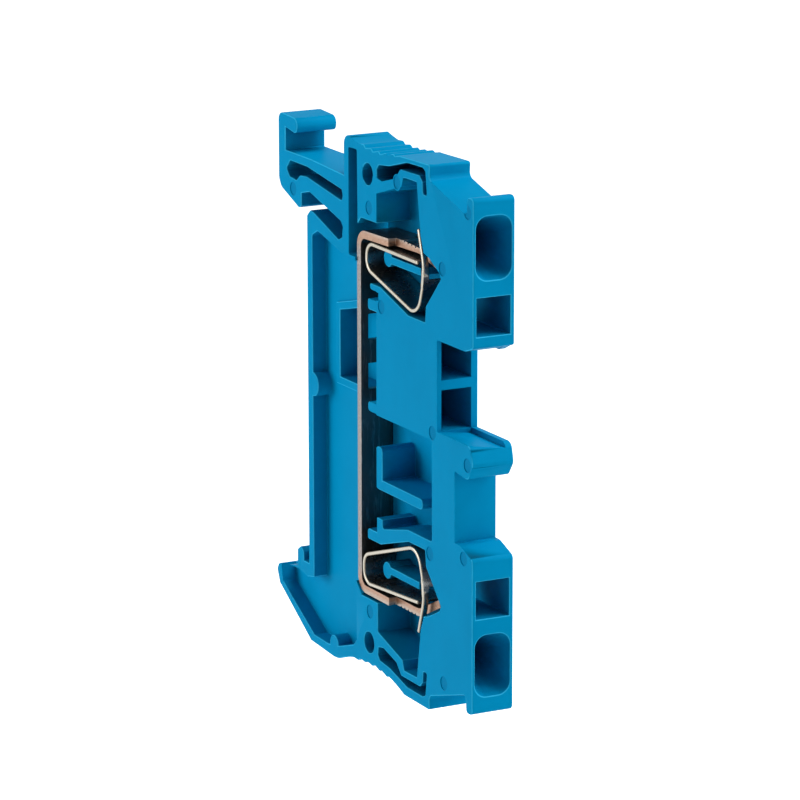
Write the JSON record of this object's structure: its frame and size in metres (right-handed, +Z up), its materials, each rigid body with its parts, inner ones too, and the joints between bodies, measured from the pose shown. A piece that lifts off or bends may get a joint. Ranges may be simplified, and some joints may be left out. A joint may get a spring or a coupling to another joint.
{
  "type": "spring clamp terminal block",
  "caption": "Slim rail-mounted feed-through terminal block: a blue housing open on one side, with a bent current bar and cage clamp springs, wire and driver entries, and a spring foot.",
  "frame": {"origin": "middle of the seat that rests on the mounting rail: halfway across the width, on the rail's front plane and at the rail's middle height", "axes": "+Z up along the rail's height, +X along the rail towards the closed side, -Y out towards the wire entries"},
  "size_m": [0.0056, 0.0394, 0.0509],
  "materials": {
    "blue_polyamide": "moulded, slightly glossy",
    "tinned_copper": "tin plated, with copper cut edges",
    "spring_steel": "bright rolled strip"
  },
  "bodies": {
    "root": {"housing": "blue_polyamide", "current_bar": "tinned_copper", "upper_clamp_spring": "spring_steel", "lower_clamp_spring": "spring_steel"}
  },
  "joints": []
}
